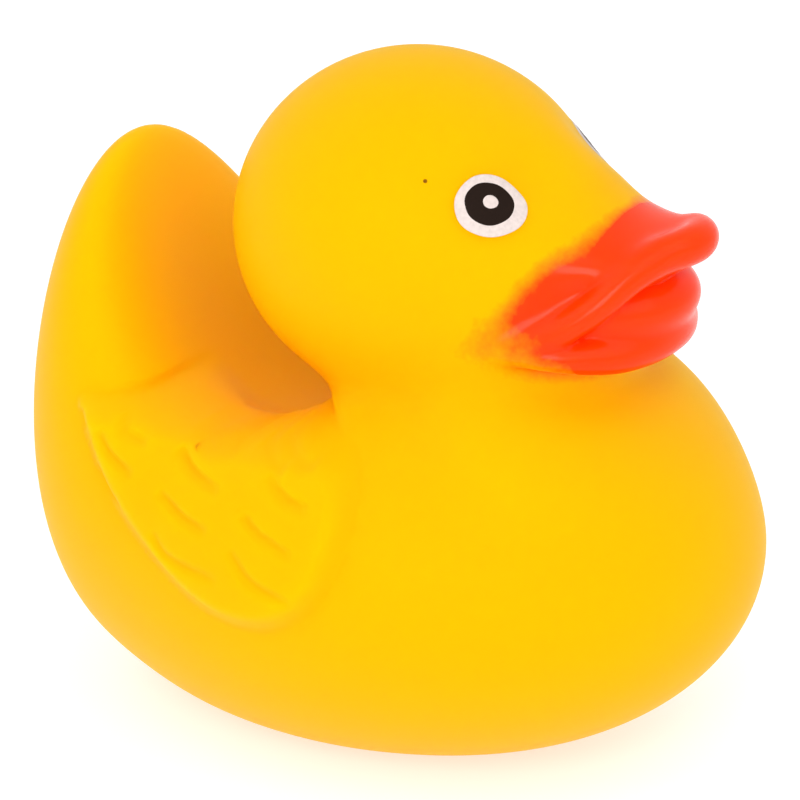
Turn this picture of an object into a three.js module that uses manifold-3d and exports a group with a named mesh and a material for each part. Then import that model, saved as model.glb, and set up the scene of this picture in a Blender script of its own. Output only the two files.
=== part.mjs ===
// Rubber duck: a hollow moulded vinyl skin (body, tail, wings, head and beak in one piece)
// with a two-piece squeaker pressed into the hole in its flat base.
// Millimetres, +Z up, beak towards -Y, origin at the middle of the base.
import * as THREE from 'three';
import { mergeVertices } from 'three/addons/utils/BufferGeometryUtils.js';
import Module from 'manifold-3d';

const wasm = await Module();
wasm.setup();

// ---- driving dimensions ----
const wall = 2.2;              // thickness of the moulded skin
const baseCut = 2.3;           // how much of the rounded belly the flat base takes away
const baseWall = 3.2;          // thickness of the skin under the squeaker
const fitGap = 0.3;            // clearance between pieces that touch
const middle = 0.26;           // moves the form back so that its length is centred

const holeRadius = 6.8;        // squeaker hole in the base
const recessRadius = 9.3;      // shallow recess that hides the squeaker's rim
const recessDepth = 1.2;

const yellow = 0xffc400;

// Each lobe is an ellipsoid: its centre, its radii across, along and up, and the angle in
// degrees by which its long axis is raised. backRadius and lowRadius are used behind and
// below the centre.
const skull = { centre: [0, -2.44, 64.92], radii: [21.91, 21.46, 20.56] };
const cheeks = { centre: [0, -13.08, 59.56], radii: [17.39, 19.45, 17.93] };
const belly = {
	centre: [0, -6.04, 27.31],
	radii: [32.98, 39.58, 22.62],
	backRadius: 35.81,
	lowRadius: 25.9,
};
const tail = { centre: [0, 27.01, 49.41], radii: [21.63, 36.59, 14.51], lean: 91.73 };
const chest = { centre: [0, -23.64, 41.85], radii: [22.27, 17.21, 9.15], lean: 32.69 };
const saddle = { centre: [0, 16.68, 68.27], radii: [41.87, 14.21, 28.34], lean: -17.41 };

const cheekBlend = 8.74;       // how softly two lobes run into each other
const tailBlend = 53.84;
const chestBlend = 11.46;
const saddleBlend = 20;
const baseBlend = 7;

// The wing is a low pad on each flank. Its outline in side view, as y and z, starts at its
// tail end and runs forwards along the top.
const wingOutline = [
	[29, 46.5], [18, 46.9], [6, 46.2], [-3, 46.2], [-8.3, 44.6], [-11, 40.5], [-11.2, 35.5],
	[-8.5, 29.8], [-3, 25.6], [3, 24.4], [9.5, 25.9], [16, 29.9], [22, 34.6], [26.5, 40.2],
];
const wingHeight = 1.7;
const wingEdge = 3;            // the width over which the pad rises to its full height

// A bill is a thick tongue of vinyl inside a rounded lip. The lip's points run from the corner
// of the mouth to its middle: across, ahead of and above the skull's centre, and the radius.
const upperBill = {
	tongue: { ahead: 22.5, above: 0.2, radii: [11.5, 12.5, 4.4], lean: -6 },
	lip: [
		[15.4, 19, -8, 1], [13.9, 24, -6.3, 1.4], [11.6, 28.4, -2.9, 1.6], [8.5, 31.4, 0.4, 1.7],
		[5.4, 33.4, 2.2, 1.9], [2.6, 35, 2.7, 2.1], [0, 35.6, 2.8, 2.2],
	],
	blend: 3.5,
	joint: 4.5,
};
const lowerBill = {
	tongue: { ahead: 23.5, above: -4.8, radii: [12, 11.8, 5.4], lean: 0 },
	lip: [
		[15.4, 19.6, -8.5, 1.1], [14.4, 23.4, -8.7, 1.4], [12, 27.2, -8.9, 1.8],
		[9, 29.8, -9.1, 2], [6, 31.2, -9.1, 2.1], [3, 32, -9, 2.2], [0, 32.3, -8.9, 2.2],
	],
	blend: 3,
	joint: 1,
};

// ---- the outer form as smooth fields, negative inside ----
function lobeDistance(point, lobe) {
	const local = point.clone().sub(new THREE.Vector3(...lobe.centre));
	if (lobe.lean) {
		local.applyAxisAngle(new THREE.Vector3(1, 0, 0), -THREE.MathUtils.degToRad(lobe.lean));
	}
	const radii = new THREE.Vector3(...lobe.radii);
	if (lobe.backRadius && local.y > 0) radii.y = lobe.backRadius;
	if (lobe.lowRadius && local.z < 0) radii.z = lobe.lowRadius;
	const scaled = local.clone().divide(radii);
	const reach = scaled.length();
	const slope = scaled.divide(radii).length();
	return reach < 1e-6 ? -Math.min(radii.x, radii.y, radii.z) : reach * (reach - 1) / slope;
}

function blend(first, second, softness) {
	const overlap = Math.max(softness - Math.abs(first - second), 0) / softness;
	return Math.min(first, second) - overlap ** 3 * softness / 6;
}

function carve(first, second, softness) {
	return -blend(-first, second, softness);
}

const wingPoints = new THREE.CatmullRomCurve3(
	wingOutline.map(([y, z]) => new THREE.Vector3(0, y, z)), true, 'catmullrom', 0.5,
).getPoints(56);

// How far inside the wing's outline a point lies in side view, negative outside.
function insideWing(point) {
	const flat = new THREE.Vector3(0, point.y, point.z);
	const nearest = new THREE.Vector3();
	let gap = Infinity;
	let inside = false;
	for (let i = 1; i < wingPoints.length; i++) {
		const [start, end] = [wingPoints[i - 1], wingPoints[i]];
		new THREE.Line3(start, end).closestPointToPoint(flat, true, nearest);
		gap = Math.min(gap, nearest.distanceTo(flat));
		const crosses = (start.z > flat.z) !== (end.z > flat.z);
		const crossing = start.y + (end.y - start.y) * (flat.z - start.z) / (end.z - start.z);
		if (crosses && flat.y < crossing) inside = !inside;
	}
	return inside ? gap : -gap;
}

function bodyField(point) {
	let field = blend(lobeDistance(point, belly), lobeDistance(point, tail), tailBlend);
	field = blend(field, lobeDistance(point, chest), chestBlend);
	field = carve(field, lobeDistance(point, saddle), saddleBlend);
	const flank = THREE.MathUtils.smoothstep(Math.abs(point.x), 6, 16);
	if (flank > 0 && Math.abs(field) < 5) {
		field -= wingHeight * flank * THREE.MathUtils.smoothstep(insideWing(point), 0, wingEdge);
	}
	return carve(field, point.z, baseBlend);
}

function headField(point) {
	return blend(lobeDistance(point, skull), lobeDistance(point, cheeks), cheekBlend);
}

const lipSteps = 36;

function makeBillField(bill) {
	const [, skullY, skullZ] = skull.centre;
	const half = [...bill.lip].reverse();
	const whole = [...bill.lip.map(([x, ...rest]) => [-x, ...rest]), ...half.slice(1)];
	const curve = new THREE.CatmullRomCurve3(
		whole.map(([x, ahead, above]) => new THREE.Vector3(x, skullY - ahead, skullZ + above)),
		false, 'catmullrom', 0.5,
	);
	const points = curve.getPoints(2 * lipSteps).slice(lipSteps);
	const radii = points.map((_, i) => {
		const place = i / lipSteps * (half.length - 1);
		const knot = Math.min(Math.floor(place), half.length - 2);
		return THREE.MathUtils.lerp(half[knot][3], half[knot + 1][3], place - knot);
	});
	const tongue = {
		centre: [0, skullY - bill.tongue.ahead, skullZ + bill.tongue.above],
		radii: bill.tongue.radii,
		lean: bill.tongue.lean,
	};
	return (point) => {
		const folded = new THREE.Vector3(Math.abs(point.x), point.y, point.z);
		const gap = Math.min(...points.map((place, i) => place.distanceTo(folded) - radii[i]));
		return blend(gap, lobeDistance(folded, tongue), bill.blend);
	};
}

const upperBillField = makeBillField(upperBill);
const lowerBillField = makeBillField(lowerBill);

function faceField(point) {
	const head = headField(point);
	if (point.y > skull.centre[1] - 8) return head;
	const upper = blend(head, upperBillField(point), upperBill.joint);
	return blend(upper, lowerBillField(point), lowerBill.joint);
}

// ---- a skin of even triangles drawn onto a level of a field, round a point that sees all of it ----
function neighbourLists(geometry) {
	const lists = Array.from({ length: geometry.attributes.position.count }, () => new Set());
	const index = geometry.index.array;
	for (let i = 0; i < index.length; i += 3) {
		for (let corner = 0; corner < 3; corner++) {
			lists[index[i + corner]].add(index[i + (corner + 1) % 3]);
			lists[index[i + corner]].add(index[i + (corner + 2) % 3]);
		}
	}
	return lists.map((set) => [...set]);
}

// Walks in from outside along a ray until it meets the level.
function meetLevel(centre, direction, field, level) {
	let reach = 80;
	const point = new THREE.Vector3();
	for (let step = 0; step < 400; step++) {
		point.copy(centre).addScaledVector(direction, reach);
		const gap = field(point) - level;
		if (gap < 0.005) break;
		reach -= THREE.MathUtils.clamp(gap * 0.6, 0.01, 3);
	}
	return point;
}

function slopeAt(point, field, value) {
	const step = 0.02;
	return new THREE.Vector3(
		field(point.clone().setX(point.x + step)) - value,
		field(point.clone().setY(point.y + step)) - value,
		field(point.clone().setZ(point.z + step)) - value,
	).divideScalar(step);
}

function pullToLevel(point, field, level) {
	const value = field(point);
	const slope = slopeAt(point, field, value);
	const steepness = Math.max(slope.lengthSq(), 0.05);
	const move = THREE.MathUtils.clamp((value - level) / steepness, -3, 3);
	return point.addScaledVector(slope, -move);
}

// Turns an edge to the other diagonal of its two triangles where that lies closer to the level.
function turnEdges(index, points, field, level) {
	const key = (one, other) => Math.min(one, other) * points.length + Math.max(one, other);
	const sides = new Map();
	const facets = Array.from({ length: index.length / 3 }, (_, i) => [...index.slice(3 * i, 3 * i + 3)]);
	facets.forEach((facet, i) => facet.forEach((corner, k) => {
		const edge = key(corner, facet[(k + 1) % 3]);
		sides.set(edge, [...(sides.get(edge) ?? []), i]);
	}));
	const miss = (one, other) =>
		Math.abs(field(points[one].clone().add(points[other]).multiplyScalar(0.5)) - level);
	const facing = (corners) => {
		const [a, b, c] = corners.map((corner) => points[corner]);
		const middle = a.clone().add(b).add(c).divideScalar(3);
		const normal = b.clone().sub(a).cross(c.clone().sub(a)).normalize();
		return normal.dot(slopeAt(middle, field, field(middle)).normalize());
	};
	const touched = new Set();
	for (const [edge, [first, second]] of sides) {
		if (touched.has(first) || touched.has(second)) continue;
		const one = Math.floor(edge / points.length);
		const other = edge % points.length;
		const start = facets[first].findIndex((corner, k) =>
			key(corner, facets[first][(k + 1) % 3]) === edge);
		const [from, to] = facets[first][start] === one ? [one, other] : [other, one];
		const left = facets[first][(start + 2) % 3];
		const right = facets[second].find((corner) => corner !== one && corner !== other);
		if (sides.has(key(left, right)) || miss(left, right) > miss(one, other) - 0.02) continue;
		const turned = [[left, from, right], [left, right, to]];
		if (Math.min(...turned.map(facing)) < 0.3) continue;
		[facets[first], facets[second]] = turned;
		touched.add(first).add(second);
		sides.set(key(left, right), [first, second]);
	}
	facets.forEach((facet, i) => facet.forEach((corner, k) => { index[3 * i + k] = corner; }));
	return touched.size;
}

function drawSkin({ field, centre, detail, level = 0 }) {
	const sphere = new THREE.IcosahedronGeometry(1, detail);
	sphere.deleteAttribute('normal');
	sphere.deleteAttribute('uv');
	const geometry = mergeVertices(sphere, 1e-5);
	const position = geometry.attributes.position;
	const eye = new THREE.Vector3(...centre);
	let points = Array.from({ length: position.count }, (_, i) =>
		meetLevel(eye, new THREE.Vector3().fromBufferAttribute(position, i), field, level));
	const relaxRounds = 10;
	for (let round = 0; round < relaxRounds; round++) {
		turnEdges(geometry.index.array, points, field, level);
		const neighbours = neighbourLists(geometry);
		points = points.map((point, i) => {
			const slide = new THREE.Vector3();
			neighbours[i].forEach((other) => slide.add(points[other]));
			slide.divideScalar(neighbours[i].length).sub(point).multiplyScalar(0.5);
			slide.projectOnPlane(slopeAt(point, field, field(point)).normalize());
			return pullToLevel(point.clone().add(slide), field, level);
		});
	}
	points.forEach((point) => pullToLevel(point, field, level));
	for (let round = 0; round < relaxRounds; round++) {
		if (!turnEdges(geometry.index.array, points, field, level)) break;
	}
	points.forEach((point, i) => position.setXYZ(i, point.x, point.y, point.z));
	return geometry;
}

// ---- joining and cutting ----
function stripped(source) {
	const geometry = source.clone();
	geometry.deleteAttribute('normal');
	geometry.deleteAttribute('uv');
	return geometry;
}

function toSolid(source) {
	const geometry = mergeVertices(stripped(source), 1e-5);
	return new wasm.Manifold(new wasm.Mesh({
		numProp: 3,
		vertProperties: new Float32Array(geometry.attributes.position.array),
		triVerts: new Uint32Array(geometry.index.array),
	}));
}

function toGeometry(solid) {
	const mesh = solid.getMesh();
	const geometry = new THREE.BufferGeometry();
	geometry.setAttribute('position', new THREE.BufferAttribute(mesh.vertProperties, 3));
	geometry.setIndex(new THREE.BufferAttribute(mesh.triVerts, 1));
	return geometry;
}

function uprightCylinder(radius, bottom, top) {
	const geometry = new THREE.CylinderGeometry(radius, radius, top - bottom, 40);
	geometry.rotateX(Math.PI / 2);
	geometry.translate(0, 0, (top + bottom) / 2);
	return geometry;
}

// ---- duck body ----
const bodyMiddle = [0, 24, 33];
const headMiddle = [0, -21, 61.5];
const neck = { centre: [0, -4, 47.5], radii: [15.5, 15, 5.5] };
const neckCavity = { centre: [0, -5, 47], radii: [11, 11, 9] };

function makeEllipsoid({ centre, radii }) {
	const geometry = new THREE.IcosahedronGeometry(1, 5);
	geometry.scale(...radii);
	return geometry.translate(...centre);
}

function makeCavity() {
	const floor = new THREE.BoxGeometry(120, 120, 40).translate(0, 0, baseCut + baseWall - 20);
	return toSolid(drawSkin({ field: bodyField, centre: bodyMiddle, detail: 8, level: -wall }))
		.add(toSolid(drawSkin({ field: headField, centre: headMiddle, detail: 5, level: -wall })))
		.add(toSolid(makeEllipsoid(neckCavity)))
		.subtract(toSolid(floor));
}

function makeBody() {
	const outside = toSolid(drawSkin({ field: bodyField, centre: bodyMiddle, detail: 14 }))
		.add(toSolid(drawSkin({ field: faceField, centre: headMiddle, detail: 14 })))
		.add(toSolid(makeEllipsoid(neck)));
	const belowBase = new THREE.BoxGeometry(120, 120, 40).translate(0, 0, baseCut - 20);
	const recessTop = baseCut + recessDepth;
	const recess = uprightCylinder(recessRadius, baseCut - 5, recessTop);
	const hole = uprightCylinder(holeRadius, baseCut - 5, baseCut + baseWall + 3);
	const solid = outside
		.subtract(toSolid(belowBase))
		.subtract(makeCavity())
		.subtract(toSolid(recess.translate(0, -middle, 0)))
		.subtract(toSolid(hole.translate(0, -middle, 0)));
	const geometry = toGeometry(solid);
	geometry.translate(0, middle, -baseCut);
	return geometry;
}

// ---- squeaker: a turned cup that snaps into the hole, and a reed plate inside it ----
const cup = { radius: holeRadius - fitGap, rimRadius: recessRadius - fitGap, wall: 1.2, height: 9 };
const shoulderHeight = 6.2;
const airHoleRadius = 1.5;
const reedThickness = 0.8;

function makeSqueakerCup() {
	const bore = cup.radius - cup.wall;
	const rimTop = recessDepth - fitGap;
	const beadBottom = baseWall + fitGap;
	const beadRadius = cup.radius + 0.8;
	const profile = [
		[airHoleRadius, fitGap],
		[cup.rimRadius, fitGap],
		[cup.rimRadius, rimTop],
		[cup.radius, rimTop],
		[cup.radius, beadBottom],
		[beadRadius, beadBottom + 0.4],
		[beadRadius, beadBottom + 1.2],
		[cup.radius, beadBottom + 2],
		[cup.radius, cup.height],
		[bore, cup.height],
		[bore, shoulderHeight],
		[bore - 1, shoulderHeight],
		[bore - 1, 1.8],
		[airHoleRadius, 1.8],
		[airHoleRadius, fitGap],
	].map(([radius, height]) => new THREE.Vector2(radius, height));
	const geometry = new THREE.LatheGeometry(profile, 40);
	geometry.rotateX(Math.PI / 2);
	return geometry;
}

function makeReed() {
	const radius = cup.radius - cup.wall - fitGap;
	const tongueHalfWidth = 1.2;
	const slot = 0.4;
	const tongueLength = 3.2;
	const plate = new THREE.Shape();
	plate.absarc(0, 0, radius, 0, Math.PI * 2, false);
	const outer = tongueHalfWidth + slot;
	const cutout = new THREE.Path();
	cutout.moveTo(-outer, -tongueLength);
	cutout.lineTo(-outer, tongueLength);
	cutout.lineTo(outer, tongueLength);
	cutout.lineTo(outer, -tongueLength);
	cutout.lineTo(tongueHalfWidth, -tongueLength);
	cutout.lineTo(tongueHalfWidth, tongueLength - slot);
	cutout.lineTo(-tongueHalfWidth, tongueLength - slot);
	cutout.lineTo(-tongueHalfWidth, -tongueLength);
	cutout.closePath();
	plate.holes.push(cutout);
	return new THREE.ExtrudeGeometry(plate, { depth: reedThickness, bevelEnabled: false, curveSegments: 32 });
}

// ---- assembly ----
function named(name, geometry, colour, roughness) {
	const material = new THREE.MeshStandardMaterial({ color: colour, roughness, metalness: 0 });
	const mesh = new THREE.Mesh(geometry, material);
	mesh.name = name;
	return mesh;
}

const duck = new THREE.Group();
duck.add(named('duck_body', makeBody(), yellow, 0.45));

const squeaker = new THREE.Group();
squeaker.add(named('squeaker_cup', makeSqueakerCup(), 0xf2f2ee, 0.4));
const reed = named('squeaker_reed', makeReed(), 0xe8e8e4, 0.4);
reed.position.z = shoulderHeight + fitGap;
squeaker.add(reed);
duck.add(squeaker);

export default duck;
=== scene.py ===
"""A hollow vinyl bath duck with a sprayed beak, printed eyes and a squeaker in its base."""

import math

import bmesh
import bpy
import numpy as np
from mathutils import Matrix, Vector


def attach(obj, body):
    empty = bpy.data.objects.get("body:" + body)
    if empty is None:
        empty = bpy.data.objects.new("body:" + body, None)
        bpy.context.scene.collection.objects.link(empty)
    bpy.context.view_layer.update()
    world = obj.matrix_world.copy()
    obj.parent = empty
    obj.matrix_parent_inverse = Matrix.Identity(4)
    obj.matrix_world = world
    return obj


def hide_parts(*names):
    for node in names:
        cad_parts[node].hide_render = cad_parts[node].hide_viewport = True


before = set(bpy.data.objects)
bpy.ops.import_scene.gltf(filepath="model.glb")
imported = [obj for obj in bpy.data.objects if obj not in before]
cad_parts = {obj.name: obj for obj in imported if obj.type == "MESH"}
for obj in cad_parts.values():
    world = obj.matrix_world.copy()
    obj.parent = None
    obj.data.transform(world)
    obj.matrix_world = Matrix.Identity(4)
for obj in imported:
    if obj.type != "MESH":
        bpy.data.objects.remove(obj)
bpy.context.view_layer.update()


# ---- moulded skin -------------------------------------------------------------------------
# The body, tail, wings, head and both bills are one hollow piece of soft PVC, cast in a
# two-part mould and pulled out through the squeaker hole. Lengths are millimetres here.

MM = 0.001
base_cut = 2.3                             # the flat base takes this much off the round belly
middle = 0.26                              # the form's own middle lies this far in front

# Lobes: centre and radii across, along and up, and the lean of the long axis in degrees.
skull = dict(centre=(0, -2.44, 64.92), radii=(21.91, 21.46, 20.56))
cheeks = dict(centre=(0, -13.08, 59.56), radii=(17.39, 19.45, 17.93))
belly = dict(centre=(0, -6.04, 27.31), radii=(32.98, 39.58, 22.62), behind=35.81, below=25.9)
tail = dict(centre=(0, 27.01, 49.41), radii=(21.63, 36.59, 14.51), lean=91.73)
chest = dict(centre=(0, -23.64, 41.85), radii=(22.27, 17.21, 9.15), lean=32.69)
saddle = dict(centre=(0, 16.68, 68.27), radii=(41.87, 14.21, 28.34), lean=-17.41)
cheek_blend = 8.74
tail_blend = 53.84
chest_blend = 11.46
saddle_blend = 20.0
base_blend = 7.0
neck_blend = 6.0


def ellipsoid(points, centre, radii, lean=0.0, behind=None, below=None):
    """Distance to an ellipsoid, true near its surface and negative inside."""
    turn = math.radians(lean)
    local = points - np.array(centre)
    along = local[:, 1] * math.cos(turn) + local[:, 2] * math.sin(turn)
    up = local[:, 2] * math.cos(turn) - local[:, 1] * math.sin(turn)
    across = np.full(len(points), float(radii[0]))
    length = np.where(along < 0, radii[1], behind or radii[1])
    height = np.where(up > 0, radii[2], below or radii[2])
    sizes = np.stack([across, length, height], -1)
    scaled = np.stack([local[:, 0], along, up], -1) / sizes
    reach = np.linalg.norm(scaled, axis=1)
    slope = np.linalg.norm(scaled / sizes, axis=1)
    return reach * (reach - 1) / np.maximum(slope, 1e-6)


def blend(first, second, softness):
    overlap = np.maximum(softness - np.abs(first - second), 0) / softness
    return np.minimum(first, second) - overlap ** 3 * softness / 6


def carve(first, second, softness):
    return -blend(-first, second, softness)


def ramp(value, low, high):
    t = np.clip((value - low) / (high - low), 0, 1)
    return t * t * (3 - 2 * t)


# The wing is a low pad on each flank, with a crisp groove along the rear of its top edge and
# feathers engraved in it. Places are y and z in side view.
wing_outline = [
    (29, 46.5), (18, 46.9), (6, 46.2), (-3, 46.2), (-7.4, 44.8), (-9.7, 40.8), (-9.9, 35.7),
    (-7.6, 29.8), (-3, 25.6), (3, 24.4), (9.5, 25.9), (16, 29.9), (22, 34.6), (26.5, 40.2),
]
wing_rise = 1.7
wing_edge = 3.2
groove_depth = 0.8
groove_width = 0.7
feathers = [
    [(28, 45.2), (27.5, 44.1), (26.6, 43)],
    [(24.2, 43.6), (22.5, 41.5), (18.8, 39.8)],
    [(24.6, 39.3), (22.5, 36.8), (20, 35.5)],
    [(22.2, 45.2), (20.7, 43.9), (17.8, 43.4)],
    [(13.7, 43.2), (11.2, 41.5), (6.9, 40.2)],
    [(14.6, 38.8), (11, 36.8), (7.3, 35.9)],
    [(14.9, 34.3), (12.2, 31.8), (5.4, 30.8)],
    [(13.7, 45), (10.5, 43.7), (6.7, 43.9)],
    [(3.1, 38.5), (0.8, 36.8), (-3.9, 35.1)],
    [(4, 34.6), (1, 31.5), (-4.5, 29.7)],
    [(4.6, 44.7), (1.1, 43.5), (-0.5, 43.3)],
    [(1.4, 42.5), (-1.7, 40.6), (-4.6, 40)],
    [(2.8, 45.2), (-1.5, 43.9), (-3.8, 44)],
]
feather_depth = 0.42
feather_width = 0.6


def smooth_line(knots, steps=6):
    """A smooth curve through points; the first and last knots only lend it their direction."""
    t = np.linspace(0, 1, steps + 1)[:-1, None]
    pieces = []
    for a, b, c, d in zip(knots, knots[1:], knots[2:], knots[3:]):
        bend = (2 * a - 5 * b + 4 * c - d) * t ** 2 + (3 * b - a - 3 * c + d) * t ** 3
        pieces.append((2 * b + (c - a) * t + bend) / 2)
    return np.vstack(pieces + [knots[-2:-1]])


def line_gap(flat, line):
    """The distance from each point to a line of short straight stretches, and the place on it."""
    nearest = np.full(len(flat), 1e9)
    place = np.zeros(len(flat))
    for i, (start, end) in enumerate(zip(line, line[1:])):
        run = end - start
        t = np.clip((flat - start) @ run / (run @ run), 0, 1)
        gap = np.linalg.norm(flat - start - t[:, None] * run, axis=1)
        closer = gap < nearest
        nearest[closer] = gap[closer]
        place[closer] = (i + t[closer]) / (len(line) - 1)
    return nearest, place


def inside_line(flat, line):
    crossings = np.zeros(len(flat), int)
    for (y, z), (next_y, next_z) in zip(line, line[1:]):
        spans = (z > flat[:, 1]) != (next_z > flat[:, 1])
        crossing = y + (next_y - y) * (flat[:, 1] - z) / (next_z - z + 1e-12)
        crossings += spans & (flat[:, 0] < crossing)
    return crossings % 2 == 1


outline_knots = np.array(wing_outline, float)
outline = smooth_line(np.vstack([outline_knots[-1:], outline_knots, outline_knots[:2]]))
feather_lines = []
for feather in feathers:
    knots = np.array(feather, float)
    before, after = 2 * knots[:1] - knots[1:2], 2 * knots[-1:] - knots[-2:-1]
    feather_lines.append(smooth_line(np.vstack([before, knots, after])))


def wing_height(points):
    height = np.zeros(len(points))
    near = (np.abs(points[:, 0]) > 6) & (np.abs(points[:, 1] - 9) < 26) & (np.abs(points[:, 2] - 36) < 17)
    flat = points[near][:, 1:]
    if not len(flat):
        return height
    gap, place = line_gap(flat, outline)
    depth = np.where(inside_line(flat, outline), gap, -gap)
    rise = wing_rise * ramp(depth, 0, wing_edge)
    along_top = ramp(place, 0.02, 0.08) * (1 - ramp(place, 0.15, 0.24))
    rise -= groove_depth * along_top * np.exp(-(depth / groove_width) ** 2)
    for line in feather_lines:
        beside = (np.abs(flat - line.mean(0)) < np.ptp(line, axis=0) / 2 + 2).all(1)
        gap, place = line_gap(flat[beside], line)
        taper = np.sqrt(np.clip(4 * place * (1 - place), 0, 1))
        rise[beside] -= feather_depth * taper * np.exp(-(gap / feather_width) ** 2)
    height[near] = rise * ramp(np.abs(points[near, 0]), 6, 16)
    return height


# A bill is a thick tongue of vinyl inside a rounded lip. The lip's points run from the corner
# of the mouth to its middle: across, ahead and above the skull's centre, and thickness.
upper_lip = [
    (15.4, 19.0, -8.0, 1.0),
    (13.9, 24.0, -6.3, 1.4),
    (11.6, 28.4, -2.9, 1.6),
    (8.5, 31.4, 0.4, 1.7),
    (5.4, 33.4, 2.2, 1.9),
    (2.6, 35.0, 2.7, 2.1),
    (0, 35.6, 2.8, 2.2),
]
lower_lip = [
    (15.4, 19.6, -8.5, 1.1),
    (14.4, 23.4, -8.7, 1.4),
    (12.0, 27.2, -8.9, 1.8),
    (9.0, 29.8, -9.1, 2.0),
    (6.0, 31.2, -9.1, 2.1),
    (3.0, 32.0, -9.0, 2.2),
    (0, 32.3, -8.9, 2.2),
]
upper_tongue = dict(ahead=22.5, above=0.2, radii=(11.5, 12.5, 4.4), lean=-6)
lower_tongue = dict(ahead=23.5, above=-4.8, radii=(12.0, 11.8, 5.4), lean=0)
upper_lip_blend = 3.5
lower_lip_blend = 3.0
brow_blend = 4.5
mouth_blend = 1.0


def beak_point(ahead, above):
    return skull["centre"][1] - ahead, skull["centre"][2] + above


def lip_curve(lip):
    """Points and radii along a smooth curve through a lip's own points, one side of the middle."""
    knots = np.array([(x, *beak_point(ahead, above), r) for x, ahead, above, r in lip], float)
    return smooth_line(np.vstack([2 * knots[:1] - knots[1:2], knots, knots[-2:-1] * [-1, 1, 1, 1]]))


def lip_distance(points, lip):
    curve = lip_curve(lip)
    nearest = np.full(len(points), 1e9)
    for start, end in zip(curve, curve[1:]):
        run = end[:3] - start[:3]
        t = np.clip((points - start[:3]) @ run / (run @ run), 0, 1)
        radius = start[3] + t * (end[3] - start[3])
        gap = np.linalg.norm(points - start[:3] - t[:, None] * run, axis=1) - radius
        nearest = np.minimum(nearest, gap)
    return nearest


def tongue_distance(points, tongue):
    centre = (0, *beak_point(tongue["ahead"], tongue["above"]))
    return ellipsoid(points, centre, tongue["radii"], tongue["lean"])


def bill_distances(points):
    folded = np.stack([np.abs(points[:, 0]), points[:, 1], points[:, 2]], -1)
    upper = blend(lip_distance(folded, upper_lip), tongue_distance(folded, upper_tongue), upper_lip_blend)
    lower = blend(lip_distance(folded, lower_lip), tongue_distance(folded, lower_tongue), lower_lip_blend)
    return upper, lower


# The brow is slightly flat in front of each eye.
brow_middle = np.array([8.5, -20.8, 75.2])
brow_flat = 0.9
brow_width = 5.0


def head_distance(points):
    folded = np.stack([np.abs(points[:, 0]), points[:, 1], points[:, 2]], -1)
    away = np.linalg.norm(folded - brow_middle, axis=1)
    field = blend(ellipsoid(points, **skull), ellipsoid(points, **cheeks), cheek_blend)
    return field + brow_flat * np.exp(-(away / brow_width) ** 2)


def torso_distance(points):
    field = blend(ellipsoid(points, **belly), ellipsoid(points, **tail), tail_blend)
    field = blend(field, ellipsoid(points, **chest), chest_blend)
    return carve(field, ellipsoid(points, **saddle), saddle_blend)


def body_distance(points):
    return carve(torso_distance(points) - wing_height(points), points[:, 2], base_blend)


def hull_distance(points):
    """Head and body together, without the bills."""
    return blend(body_distance(points), head_distance(points), neck_blend)


def duck_distance(points):
    """The whole outer form, negative inside."""
    field = hull_distance(points)
    near = (points[:, 1] < skull["centre"][1] - 8) & (np.abs(points[:, 2] - skull["centre"][2]) < 25)
    if near.any():
        upper, lower = bill_distances(points[near])
        field[near] = blend(blend(field[near], upper, brow_blend), lower, mouth_blend)
    return field


to_form = np.array([0, -middle, base_cut])


def form_points(mesh):
    """A mesh's points in the form's own millimetres."""
    flat = np.empty(len(mesh.vertices) * 3)
    mesh.vertices.foreach_get("co", flat)
    return flat.reshape(-1, 3) / MM + to_form


def set_form_points(mesh, points):
    mesh.vertices.foreach_set("co", ((points - to_form) * MM).ravel())
    mesh.update()


def slope_at(points, distance):
    step = 0.02
    value = distance(points)
    slope = np.stack([distance(points + step * axis) - value for axis in np.eye(3)], -1) / step
    return value, slope


def pull(points, distance, level=0.0, most=1.5):
    """Moves points along the field's slope onto the given level of it."""
    value, slope = slope_at(points, distance)
    move = np.clip((value - level) / np.maximum((slope ** 2).sum(1), 0.05), -most, most)
    return points - slope * move[:, None]


def relax(points, mesh, distance):
    """Evens out the spacing: each point slides along the surface towards its neighbours' mean."""
    ends = np.empty(len(mesh.edges) * 2, int)
    mesh.edges.foreach_get("vertices", ends)
    one, other = ends[0::2], ends[1::2]
    count = np.bincount(ends, minlength=len(points))
    slide = np.empty_like(points)
    for axis in range(3):
        near_one = np.bincount(one, points[other, axis], len(points))
        near_other = np.bincount(other, points[one, axis], len(points))
        slide[:, axis] = ((near_one + near_other) / count - points[:, axis]) / 2
    slope = slope_at(points, distance)[1]
    slope /= np.linalg.norm(slope, axis=1, keepdims=True) + 1e-9
    return points + slide - slope * (slide * slope).sum(1, keepdims=True)


def drawn_ball(rows, centre, distance, level=0.0):
    """A ball shrunk along its rays, from outside, onto a level of a field."""
    mesh = bpy.data.meshes.new("drawn_ball")
    ball = bmesh.new()
    bmesh.ops.create_icosphere(ball, subdivisions=rows, radius=1)
    rays = np.array([v.co[:] for v in ball.verts])
    ball.to_mesh(mesh)
    ball.free()
    reach = np.full(len(rays), 80.0)
    for _ in range(120):
        gap = distance(np.array(centre) + rays * reach[:, None]) - level
        reach -= np.clip(gap * 0.6, -0.5, 3)
    set_form_points(mesh, np.array(centre) + rays * reach[:, None])
    return mesh


def add_ellipsoid(form, centre, radii, lean=0.0, rows=3):
    """An ellipsoid in a bmesh, given in the form's own millimetres."""
    place = Matrix.Translation((Vector(centre) - Vector(to_form)) * MM)
    turn = Matrix.Rotation(math.radians(lean), 4, "X")
    size = Matrix.Diagonal((*[r * MM for r in radii], 1))
    bmesh.ops.create_icosphere(form, subdivisions=rows, radius=1, matrix=place @ turn @ size)


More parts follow.
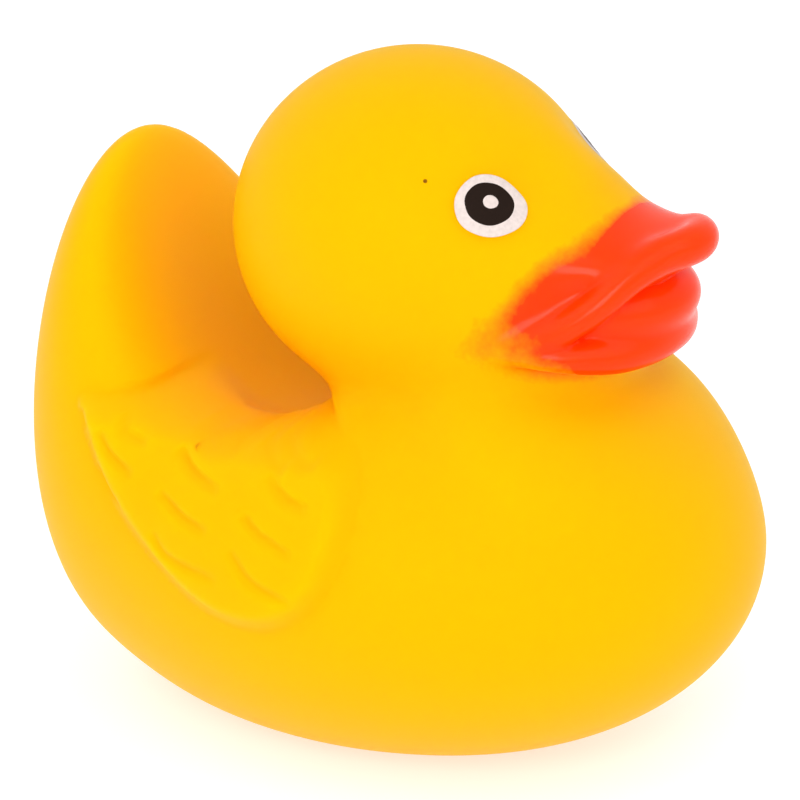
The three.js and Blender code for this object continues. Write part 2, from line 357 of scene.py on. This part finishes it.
def add_bills(form):
    for tongue in (upper_tongue, lower_tongue):
        centre = (0, *beak_point(tongue["ahead"], tongue["above"]))
        add_ellipsoid(form, centre, tongue["radii"], tongue["lean"], rows=4)
    for lip in (upper_lip, lower_lip):
        for x, y, z, radius in lip_curve(lip):
            for side in (-x, x):
                add_ellipsoid(form, (side, y, z), (radius, radius, radius))


def remesh(meshes, size, bills=False):
    """One closed surface of even quads round all of the given meshes."""
    form = bmesh.new()
    for mesh in meshes:
        form.from_mesh(mesh)
    if bills:
        add_bills(form)
    joined = bpy.data.meshes.new("joined")
    form.to_mesh(joined)
    form.free()
    cast = bpy.data.objects.new("cast", joined)
    bpy.context.scene.collection.objects.link(cast)
    grid = cast.modifiers.new("even quads", "REMESH")
    grid.mode = "VOXEL"
    grid.voxel_size = size * MM
    depsgraph = bpy.context.evaluated_depsgraph_get()
    even = bpy.data.meshes.new_from_object(cast.evaluated_get(depsgraph))
    bpy.data.objects.remove(cast)
    return even


def settle(mesh, distance, level=0.0, rounds=4):
    points = form_points(mesh)
    for _ in range(3):
        points = pull(points, distance, level)
    for _ in range(rounds):
        points = pull(relax(points, mesh, distance), distance, level)
    for _ in range(2):
        points = pull(points, distance, level)
    set_form_points(mesh, points)
    return mesh


def refine(mesh, chosen):
    """Splits the edges whose both ends are chosen, so that fine relief has points to stand on."""
    fine = bmesh.new()
    fine.from_mesh(mesh)
    fine.verts.ensure_lookup_table()
    picked = [e for e in fine.edges if chosen[e.verts[0].index] and chosen[e.verts[1].index]]
    bmesh.ops.subdivide_edges(fine, edges=picked, cuts=1, use_grid_fill=True)
    bmesh.ops.triangulate(fine, faces=[f for f in fine.faces if len(f.verts) > 4])
    fine.to_mesh(mesh)
    fine.free()
    return mesh


body_middle = (0, 20, 28)
head_middle = (0, -6, 62)
body_ball = drawn_ball(7, body_middle, torso_distance)
head_ball = drawn_ball(6, head_middle, head_distance)
fine_grid = 0.7
skin_mesh = settle(remesh([body_ball, head_ball], fine_grid, bills=True), duck_distance)
places = form_points(skin_mesh)
on_beak = (places[:, 1] < skull["centre"][1] - 16) & (np.abs(places[:, 2] - 61) < 13)
on_beak &= np.min(bill_distances(places), axis=0) < 1.5
flat = places[:, 1:]
on_wing = (np.abs(places[:, 0]) > 14) & (inside_line(flat, outline) | (line_gap(flat, outline)[0] < 1.8))
refine(skin_mesh, on_beak | on_wing)
settle(skin_mesh, duck_distance, rounds=1)
base = bmesh.new()
base.from_mesh(skin_mesh)
whole = base.verts[:] + base.edges[:] + base.faces[:]
bmesh.ops.bisect_plane(base, geom=whole, plane_co=(0, 0, 0), plane_no=(0, 0, -1), clear_outer=True)
bmesh.ops.edgeloop_fill(base, edges=[e for e in base.edges if e.is_boundary])
base.to_mesh(skin_mesh)
base.free()
skin = bpy.data.objects.new("vinyl_skin", skin_mesh)
bpy.context.scene.collection.objects.link(skin)

# The skin is 2.2 mm thick, 3.2 mm at the base, where the squeaker's recess and hole are.
wall = 2.2
base_wall = 3.2
hollow_balls = [drawn_ball(6, body_middle, torso_distance, -wall)]
hollow_balls.append(drawn_ball(5, head_middle, head_distance, -wall))
coarse_grid = 1.6
hollow = remesh(hollow_balls, coarse_grid)
settle(hollow, lambda points: blend(torso_distance(points), head_distance(points), neck_blend), -wall)
room = bmesh.new()
room.from_mesh(hollow)
whole = room.verts[:] + room.edges[:] + room.faces[:]
bmesh.ops.bisect_plane(
    room, geom=whole, plane_co=(0, 0, base_wall * MM), plane_no=(0, 0, -1), clear_outer=True)
bmesh.ops.edgeloop_fill(room, edges=[e for e in room.edges if e.is_boundary])
room.to_mesh(hollow)
room.free()


def cut(target, mesh):
    """Takes a closed mesh out of an object for good."""
    tool = bpy.data.objects.new("tool", mesh)
    bpy.context.scene.collection.objects.link(tool)
    boolean = target.modifiers.new("cut", "BOOLEAN")
    boolean.operation = "DIFFERENCE"
    boolean.solver = "MANIFOLD"
    boolean.object = tool
    depsgraph = bpy.context.evaluated_depsgraph_get()
    cut_mesh = bpy.data.meshes.new_from_object(target.evaluated_get(depsgraph))
    target.modifiers.clear()
    target.data = cut_mesh
    bpy.data.objects.remove(tool)


def upright_drum(radius, bottom, top):
    mesh = bpy.data.meshes.new("drum")
    drum = bmesh.new()
    place = Matrix.Translation((0, 0, (bottom + top) / 2 * MM))
    bmesh.ops.create_cone(drum, cap_ends=True, segments=96, radius1=radius * MM, radius2=radius * MM,
                          depth=(top - bottom) * MM, matrix=place)
    drum.to_mesh(mesh)
    drum.free()
    return mesh


cut(skin, hollow)
recess_radius, recess_depth = 9.3, 1.2
hole_radius = 6.8
clear = 2.0                                # how far a cutting drum runs past the skin
cut(skin, upright_drum(recess_radius, -clear, recess_depth))
cut(skin, upright_drum(hole_radius, -clear, base_wall + clear))
skin_mesh = skin.data
skin_mesh.materials.clear()
for face in skin_mesh.polygons:
    face.use_smooth = True
skin_mesh.set_sharp_from_angle(angle=math.radians(50))


def linear(value):
    """An sRGB hex colour as linear red, green, blue and alpha."""
    parts = [int(value[i:i + 2], 16) / 255 for i in (1, 3, 5)]
    return (*[p / 12.92 if p <= 0.04045 else ((p + 0.055) / 1.055) ** 2.4 for p in parts], 1.0)


def add(tree, kind, settings=None, **links):
    """Adds a node, sets its sockets and properties, and links what is given."""
    node = tree.nodes.new(kind)
    for key, value in (settings or {}).items():
        if isinstance(key, int) or key in node.inputs:
            node.inputs[key].default_value = value
        else:
            setattr(node, key, value)
    for key, source in links.items():
        tree.links.new(source, node.inputs[key.replace("_", " ")])
    return node


# The beak is masked and sprayed orange. Its edge is given from the front: across and above the
# skull's centre. The spray is soft at the corners of the mouth and crisper over the bill.
paint_edge = [
    (0, 5.3), (3.75, 5.2), (8.7, 3.9), (12.2, 2.0), (14.7, -0.8), (16.2, -3.7), (16.7, -6.1),
    (16.6, -8.0), (15.5, -9.7), (13.3, -11.0), (10.5, -11.7), (6.0, -12.0), (0, -12.1),
]
paint_knots = np.array([(-x, z) for x, z in paint_edge[:0:-1]] + paint_edge[:-1], float)
paint_line = smooth_line(np.vstack([paint_knots[-1:], paint_knots, paint_knots[:2]]))
places = form_points(skin_mesh)
across = np.stack([places[:, 0], places[:, 2] - skull["centre"][2]], -1)
ahead = skull["centre"][1] - places[:, 1]
gap = line_gap(across, paint_line)[0] * np.where(inside_line(across, paint_line), 1, -1)
softness = 0.7 + 0.5 * ramp(-across[:, 1], 1, 8)
cover = np.where(ahead > 13, np.clip(gap / softness, -4, 4), -4)
cover += 5 * ramp(ahead, 26.5, 29.5) * ramp(across[:, 1], -12, -10)
paint = skin_mesh.attributes.new("spray_cover", "FLOAT", "POINT")
paint.data.foreach_set("value", cover)

# Soft PVC coloured right through, slightly translucent, with a satin skin from the mould; the
# yellow pigment tints its reflections except at grazing angles.
vinyl = bpy.data.materials.new("soft_pvc_vinyl")
vinyl.use_nodes = True
tree = vinyl.node_tree
shader = tree.nodes["Principled BSDF"]
shader.inputs["Subsurface Weight"].default_value = 0.6
shader.inputs["Subsurface Radius"].default_value = (1.0, 0.8, 0.1)
shader.inputs["Subsurface Scale"].default_value = 0.008
shader.inputs["Specular IOR Level"].default_value = 0.06
shader.inputs["Coat Roughness"].default_value = 0.18
coords = add(tree, "ShaderNodeTexCoord")
spatter = add(tree, "ShaderNodeTexNoise", {"Scale": 1500.0, "Detail": 3.0}, Vector=coords.outputs["Object"])
drift = add(tree, "ShaderNodeTexNoise", {"Scale": 320.0, "Detail": 2.0}, Vector=coords.outputs["Object"])
cover = add(tree, "ShaderNodeAttribute", {"attribute_name": "spray_cover"})
broken = add(tree, "ShaderNodeMath", {"operation": "MULTIPLY_ADD", 1: 0.7, 2: -0.35})
tree.links.new(spatter.outputs["Fac"], broken.inputs[0])
wandering = add(tree, "ShaderNodeMath", {"operation": "MULTIPLY_ADD", 1: 1.2, 2: -0.6})
tree.links.new(drift.outputs["Fac"], wandering.inputs[0])
ragged = add(tree, "ShaderNodeMath", {"operation": "ADD"})
tree.links.new(broken.outputs[0], ragged.inputs[0])
tree.links.new(wandering.outputs[0], ragged.inputs[1])
edge = add(tree, "ShaderNodeMath", {"operation": "ADD"})
tree.links.new(cover.outputs["Fac"], edge.inputs[0])
tree.links.new(ragged.outputs[0], edge.inputs[1])
sprayed = add(tree, "ShaderNodeMapRange", {"From Min": -1.0, "From Max": 1.0}, Value=edge.outputs[0])
pigment = add(tree, "ShaderNodeMix", {"data_type": "RGBA"}, Factor=sprayed.outputs[0])
pigment.inputs[6].default_value = (0.95, 0.42, 0.001, 1)
pigment.inputs[7].default_value = (0.9, 0.04, 0.0005, 1)
sheen = add(tree, "ShaderNodeMapRange", {"To Min": 0.46, "To Max": 0.26}, Value=sprayed.outputs[0])
tint = add(tree, "ShaderNodeMix", {"data_type": "RGBA"}, Factor=sprayed.outputs[0])
tint.inputs[6].default_value = (1.0, 0.6, 0.04, 1)
tint.inputs[7].default_value = (1.0, 0.4, 0.2, 1)
tree.links.new(sheen.outputs[0], shader.inputs["Roughness"])
tree.links.new(tint.outputs[2], shader.inputs["Specular Tint"])
gloss = add(tree, "ShaderNodeMapRange", {"To Max": 0.2}, Value=sprayed.outputs[0])
tree.links.new(gloss.outputs[0], shader.inputs["Coat Weight"])

# Two dark specks of dirt sit on the flank and behind the eye.
specks = [((-33.9, -7.7, 36.5), 0.32), ((-16.2, -11.7, 75.7), 0.3)]
coated = pigment.outputs[2]
for place, radius in specks:
    centre = [(p - q) * MM for p, q in zip(place, to_form)]
    away = add(tree, "ShaderNodeVectorMath", {"operation": "DISTANCE", 1: centre})
    tree.links.new(coords.outputs["Object"], away.inputs[0])
    spot = add(tree, "ShaderNodeMapRange", {"From Min": radius * MM, "From Max": radius * MM * 0.6},
               Value=away.outputs["Value"])
    dirty = add(tree, "ShaderNodeMix", {"data_type": "RGBA"}, Factor=spot.outputs[0])
    tree.links.new(coated, dirty.inputs[6])
    dirty.inputs[7].default_value = linear("#7A4A10")
    coated = dirty.outputs[2]
tree.links.new(coated, shader.inputs["Base Color"])
skin_mesh.materials.append(vinyl)
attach(skin, "root")
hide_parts("duck_body")


# ---- printed eyes -------------------------------------------------------------------------
# Each eye is three pad-printed layers of ink: a white oval, a black oval and a white glint.
# They are thin, follow the round of the head, and are modelled as thin closed patches.

eye_middle = np.array([13.3, skull["centre"][1] - 16.2, skull["centre"][2] + 8.2])
eye_along = np.array([-2.7, -3.4, -0.3])   # from the middle to the front edge
eye_up = np.array([-1.8, 0.9, 3.2])        # from the middle to the top edge


def ink_patch(layer, hand, slip, size, height, ink):
    """An oval of ink: slip and size are parts of the eye's own half lengths."""
    name = f"{layer}_{hand}"
    side = 1 if hand == "left" else -1
    mesh = bpy.data.meshes.new(name)
    pad = bmesh.new()
    bmesh.ops.create_uvsphere(pad, u_segments=64, v_segments=28, radius=1)
    if side > 0:
        bmesh.ops.reverse_faces(pad, faces=pad.faces)
    pad.to_mesh(mesh)
    ball = np.array([v.co[:] for v in pad.verts])
    pad.free()
    turn = np.arctan2(ball[:, 1], ball[:, 0])
    wobble = 1 + 0.012 * np.sin(3 * turn + size * 9) + 0.006 * np.sin(7 * turn)
    places = eye_middle + np.outer(slip[0] + size * wobble * ball[:, 0], eye_along)
    places += np.outer(slip[1] + size * wobble * ball[:, 1], eye_up)
    for _ in range(4):
        places = pull(places, head_distance)
    reach = np.linalg.norm(ball[:, :2], axis=1)
    top = height * np.sqrt(np.clip(1 - reach ** 8, 0, 1))
    level = np.where(ball[:, 2] > 0, top, -0.15)
    slope = slope_at(places, head_distance)[1]
    places += slope / np.linalg.norm(slope, axis=1, keepdims=True) * level[:, None]
    places[:, 0] *= side
    set_form_points(mesh, places)
    for face in mesh.polygons:
        face.use_smooth = True
    patch = bpy.data.objects.new(name, mesh)
    bpy.context.scene.collection.objects.link(patch)
    mesh.materials.append(ink)
    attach(patch, "root")
    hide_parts("duck_body")


def ink_material(name, colour, roughness):
    """Thin satin printing ink with a faint uneven grain."""
    ink = bpy.data.materials.new(name)
    ink.use_nodes = True
    tree = ink.node_tree
    shader = tree.nodes["Principled BSDF"]
    coords = add(tree, "ShaderNodeTexCoord")
    grain = add(tree, "ShaderNodeTexNoise", {"Scale": 2200.0}, Vector=coords.outputs["Object"])
    tone = add(tree, "ShaderNodeMix", {"data_type": "RGBA"}, Factor=grain.outputs["Fac"])
    tone.inputs[6].default_value = linear(colour)
    tone.inputs[7].default_value = tuple(c * 0.7 for c in linear(colour)[:3]) + (1,)
    tree.links.new(tone.outputs[2], shader.inputs["Base Color"])
    shader.inputs["Roughness"].default_value = roughness
    shader.inputs["Specular IOR Level"].default_value = 0.06
    return ink


white_ink = ink_material("white_pad_print_ink", "#DFD0CA", 0.45)
black_ink = ink_material("black_pad_print_ink", "#21140D", 0.4)
for hand in ("left", "right"):
    ink_patch("eye_white", hand, (0, 0), 1.0, 0.1, white_ink)
    ink_patch("eye_black", hand, (-0.04, 0.05), 0.73, 0.15, black_ink)
    ink_patch("eye_glint", hand, (-0.02, 0.1), 0.235, 0.2, white_ink)


# ---- squeaker -----------------------------------------------------------------------------
# The cup and the reed plate inside it are natural white polyethylene mouldings in the base;
# their plain shapes come straight from the part and only take their material here.

natural_white = bpy.data.materials.new("natural_white_polyethylene")
natural_white.use_nodes = True
shader = natural_white.node_tree.nodes["Principled BSDF"]
shader.inputs["Base Color"].default_value = linear("#EFEDE6")
shader.inputs["Roughness"].default_value = 0.35
for name in ("squeaker_cup", "squeaker_reed"):
    moulding = bpy.data.objects[name]
    moulding.data.materials.clear()
    moulding.data.materials.append(natural_white)


# ---- camera, floor and light --------------------------------------------------------------
target = Vector((-1.79, -1.11 + middle, 42.75 - base_cut)) * MM
azimuth = math.radians(-62.79)
elevation = math.radians(20.69)
distance = 0.5
back = Vector((
    math.sin(azimuth) * math.cos(elevation),
    -math.cos(azimuth) * math.cos(elevation),
    math.sin(elevation),
))
camera_data = bpy.data.cameras.new("camera")
camera_data.sensor_width = 36
camera_data.lens = 36 * 8.4 * 500 / 800
camera = bpy.data.objects.new("camera", camera_data)
camera.location = target + back * distance
camera.rotation_euler = back.to_track_quat("Z", "Y").to_euler()
bpy.context.scene.collection.objects.link(camera)
bpy.context.scene.camera = camera

floor_mesh = bpy.data.meshes.new("floor")
floor_form = bmesh.new()
bmesh.ops.create_grid(floor_form, x_segments=8, y_segments=8, size=3)
floor_form.to_mesh(floor_mesh)
floor_form.free()
floor = bpy.data.objects.new("floor", floor_mesh)
bpy.context.scene.collection.objects.link(floor)
paper = bpy.data.materials.new("white_paper")
paper.use_nodes = True
paper_shader = paper.node_tree.nodes["Principled BSDF"]
paper_shader.inputs["Base Color"].default_value = (0.6, 0.6, 0.6, 1)
paper_shader.inputs["Roughness"].default_value = 0.9
paper_shader.inputs["Specular IOR Level"].default_value = 0.0
paper_shader.inputs["Emission Color"].default_value = (1, 1, 1, 1)
paper_shader.inputs["Emission Strength"].default_value = 0.55
floor.data.materials.append(paper)


def softbox(name, width, height, power, direction, reach=0.6):
    lamp = bpy.data.lights.new(name, "AREA")
    lamp.shape = "RECTANGLE"
    lamp.size = width
    lamp.size_y = height
    lamp.energy = power
    box = bpy.data.objects.new(name, lamp)
    aim = Vector(direction).normalized()
    box.location = Vector((0, 0, 0.04)) + aim * reach
    box.rotation_euler = aim.to_track_quat("Z", "Y").to_euler()
    bpy.context.scene.collection.objects.link(box)
    return box


right = Vector((math.cos(azimuth), math.sin(azimuth), 0))
softbox("key", 0.6, 0.6, 1.0, back * 0.8 + right * 0.6 + Vector((0, 0, 0.8)))
softbox("side", 0.5, 0.5, 0.55, back * 0.5 - right * 0.9 + Vector((0, 0, 0.9)))
softbox("front", 0.25, 0.25, 1.3, back - right * 0.15 + Vector((0, 0, 0.12)))
world = bpy.data.worlds.new("studio")
world.use_nodes = True
world.node_tree.nodes["Background"].inputs["Color"].default_value = (1, 1, 1, 1)
world.node_tree.nodes["Background"].inputs["Strength"].default_value = 0.8
bpy.context.scene.world = world
bpy.context.scene.view_settings.view_transform = "Standard"
